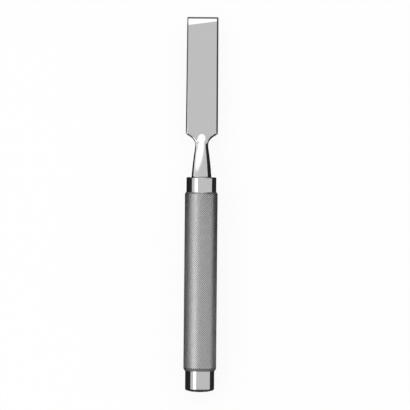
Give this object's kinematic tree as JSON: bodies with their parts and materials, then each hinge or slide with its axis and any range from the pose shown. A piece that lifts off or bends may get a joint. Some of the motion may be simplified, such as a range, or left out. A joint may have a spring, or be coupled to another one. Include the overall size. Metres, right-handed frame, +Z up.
{
  "type": "osteotome",
  "caption": "Straight surgical bone chisel in one piece of steel, with a double-bevelled flat blade, round neck, knurled round grip and domed striking head.",
  "frame": {"origin": "centre of the tool's bounding box, on the surface that its grip rests on", "axes": "+Y along the tool towards the cutting edge, +Z up and square to the blade's broad faces, +X to the right across the blade"},
  "size_m": [0.021, 0.24, 0.021],
  "materials": {
    "steel": "polished collar, head and neck, satin blade, fine knurl on the grip"
  },
  "bodies": {
    "root": {"osteotome": "steel"}
  },
  "joints": []
}
